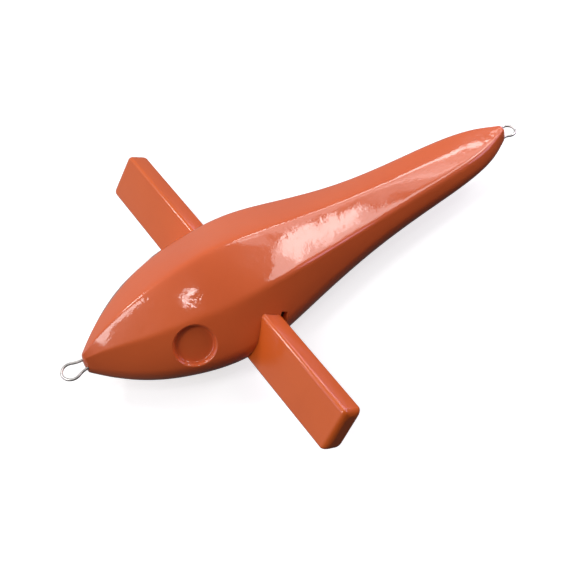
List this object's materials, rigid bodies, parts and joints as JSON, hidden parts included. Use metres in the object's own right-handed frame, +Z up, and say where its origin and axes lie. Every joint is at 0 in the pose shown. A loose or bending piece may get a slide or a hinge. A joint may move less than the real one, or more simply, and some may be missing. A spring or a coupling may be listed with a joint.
{
  "type": "trolling bird teaser",
  "caption": "Surface trolling bird: a fish-shaped painted float with push-in side wings and a wire eye at the nose and at the tail.",
  "frame": {"origin": "on the ground under the middle of the overall box, so the flat of the belly is at z = 0", "axes": "+X to the nose, +Y to the bird's left wing, +Z up"},
  "size_m": [0.259, 0.1858, 0.0521],
  "materials": {
    "hull_paint": "gloss",
    "wing_paint": "satin",
    "inner_plastic": "matte",
    "foam": "matte",
    "wire_steel": "polished",
    "ballast_iron": "matte"
  },
  "bodies": {
    "hull": {"upper_shell": "hull_paint", "lower_shell": "hull_paint", "wing_carrier": "inner_plastic", "wire_frame": "wire_steel", "wire_clamp_nose": "wire_steel", "wire_clamp_tail": "wire_steel", "foam_front_upper": "foam", "foam_front_lower": "foam", "foam_rear_upper": "foam", "foam_rear_lower": "foam", "ballast_bar": "ballast_iron", "ballast_screw_front": "wire_steel", "ballast_screw_rear": "wire_steel"},
    "left_wing": {"wing_left": "wing_paint"},
    "right_wing": {"wing_right": "wing_paint"}
  },
  "joints": [
    {"name": "wing_left_slide", "type": "slide", "parent": "hull", "child": "left_wing", "axis": [0, 1, 0], "range_m": [0, 0.03]},
    {"name": "wing_right_slide", "type": "slide", "parent": "hull", "child": "right_wing", "axis": [0, -1, 0], "range_m": [0, 0.03]}
  ]
}
